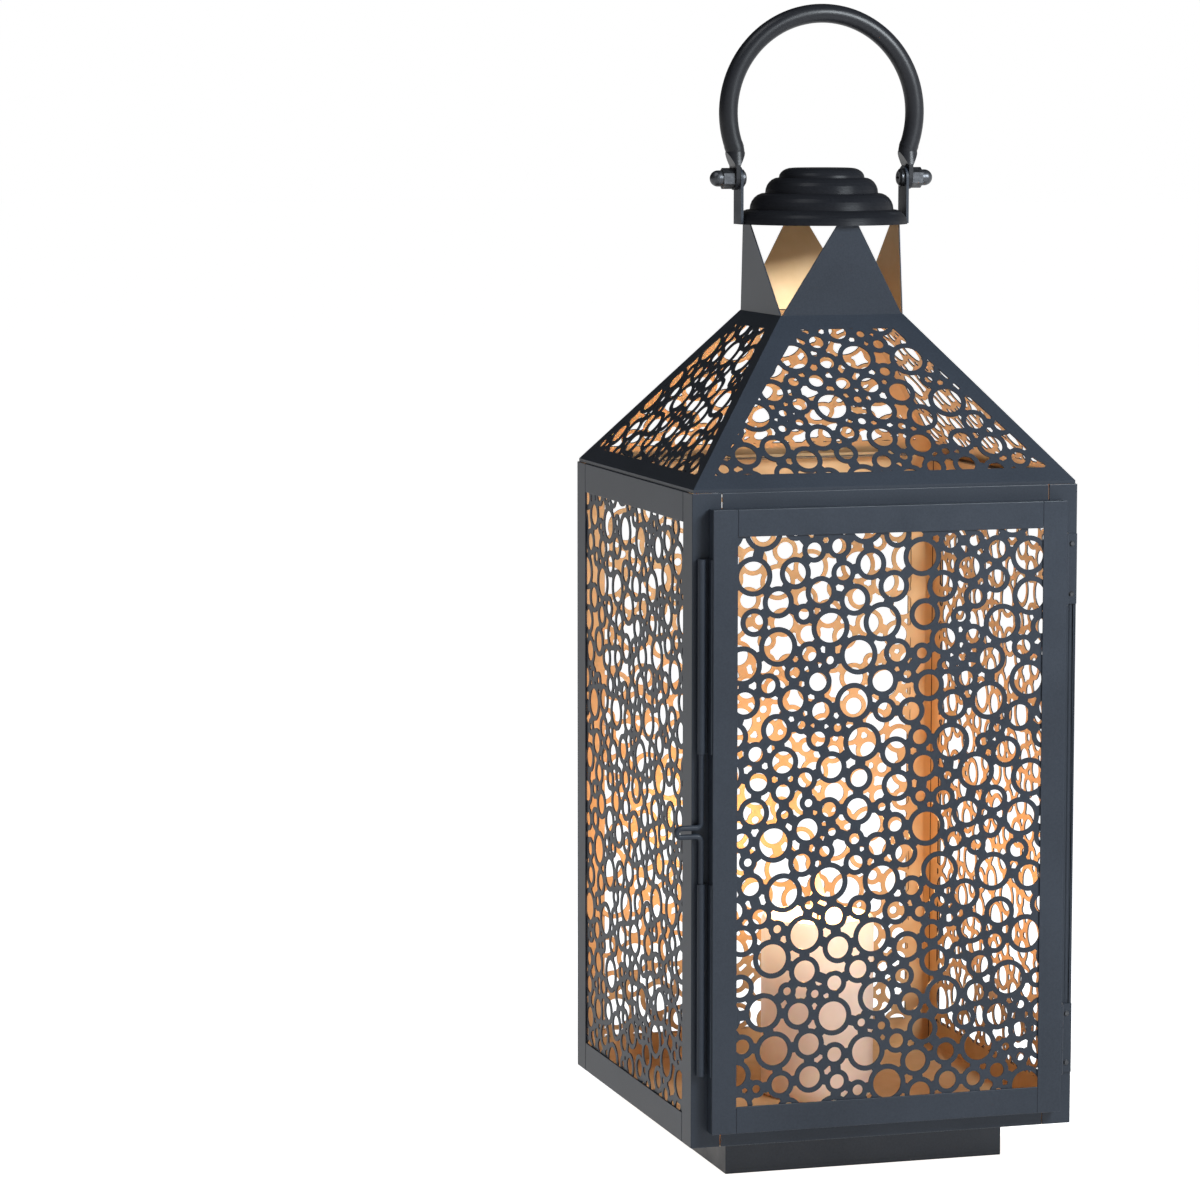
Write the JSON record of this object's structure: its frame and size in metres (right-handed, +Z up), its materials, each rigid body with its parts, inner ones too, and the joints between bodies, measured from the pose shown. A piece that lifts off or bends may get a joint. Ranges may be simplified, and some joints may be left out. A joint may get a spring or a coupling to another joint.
{
  "type": "moroccan metal lantern",
  "caption": "Square cut-metal lantern with a bubble-lace pattern, hinged door, wire latch, pyramid roof under a vented crown, ring handle and pillar candle.",
  "frame": {"origin": "centre of the foot's underside, on the surface the lantern stands on", "axes": "+Z up; -Y is the door side; +X is the hinge side of the door, seen from the front the latch is on the left"},
  "size_m": [0.2516, 0.2494, 0.6962],
  "materials": {
    "frame_paint": "satin charcoal powder coat",
    "two_tone_sheet": "satin charcoal powder coat outside, bronze-gold paint inside",
    "bronze_paint": "satin bronze-gold paint",
    "cap_paint": "satin black powder coat",
    "handle_paint": "satin black powder coat",
    "fastener_steel": "blackened steel",
    "candle_wax": "cream paraffin wax, slightly translucent",
    "wick": "charred cotton wick"
  },
  "bodies": {
    "lantern": {"base_plinth": "frame_paint", "floor_pan": "bronze_paint", "bottom_rail_front": "frame_paint", "bottom_rail_left": "frame_paint", "bottom_rail_back": "frame_paint", "bottom_rail_right": "frame_paint", "top_rail_front": "frame_paint", "top_rail_left": "frame_paint", "top_rail_back": "frame_paint", "top_rail_right": "frame_paint", "corner_post_front_left": "frame_paint", "corner_post_front_right": "frame_paint", "corner_post_back_left": "frame_paint", "corner_post_back_right": "frame_paint", "side_panel_left": "two_tone_sheet", "side_panel_right": "two_tone_sheet", "side_panel_back": "two_tone_sheet", "roof_panel_front": "two_tone_sheet", "roof_panel_left": "two_tone_sheet", "roof_panel_back": "two_tone_sheet", "roof_panel_right": "two_tone_sheet", "crown_petal_front": "two_tone_sheet", "crown_petal_left": "two_tone_sheet", "crown_petal_back": "two_tone_sheet", "crown_petal_right": "two_tone_sheet", "top_cap": "cap_paint", "handle_bracket_left": "frame_paint", "handle_bracket_right": "frame_paint", "pivot_screw_left": "fastener_steel", "pivot_screw_right": "fastener_steel", "cap_nut_left": "fastener_steel", "cap_nut_right": "fastener_steel", "hinge_leaf_post_upper": "frame_paint", "hinge_leaf_post_lower": "frame_paint", "hinge_pin_upper": "fastener_steel", "hinge_pin_lower": "fastener_steel", "hinge_rivets": "fastener_steel", "candle": "candle_wax", "candle_wick": "wick"},
    "door": {"door_stile_left": "frame_paint", "door_stile_right": "frame_paint", "door_rail_top": "frame_paint", "door_rail_bottom": "frame_paint", "door_panel": "two_tone_sheet", "hinge_leaf_door_upper": "frame_paint", "hinge_leaf_door_lower": "frame_paint", "latch_tube_upper": "frame_paint", "latch_tube_lower": "frame_paint"},
    "latch": {"latch_rod": "frame_paint"},
    "handle": {"carry_handle": "handle_paint"}
  },
  "joints": [
    {"name": "door_swing", "type": "hinge", "parent": "lantern", "child": "door", "pos_m": [0.1123, -0.1223, 0.2], "axis": [0, 0, 1], "range_deg": [0, 110]},
    {"name": "latch_turn", "type": "hinge", "parent": "door", "child": "latch", "pos_m": [-0.115, -0.1228, 0.2], "axis": [0, 0, 1], "range_deg": [0, 105]},
    {"name": "handle_swing", "type": "hinge", "parent": "lantern", "child": "handle", "pos_m": [0, 0, 0.5913], "axis": [1, 0, 0], "range_deg": [-88, 88]}
  ]
}
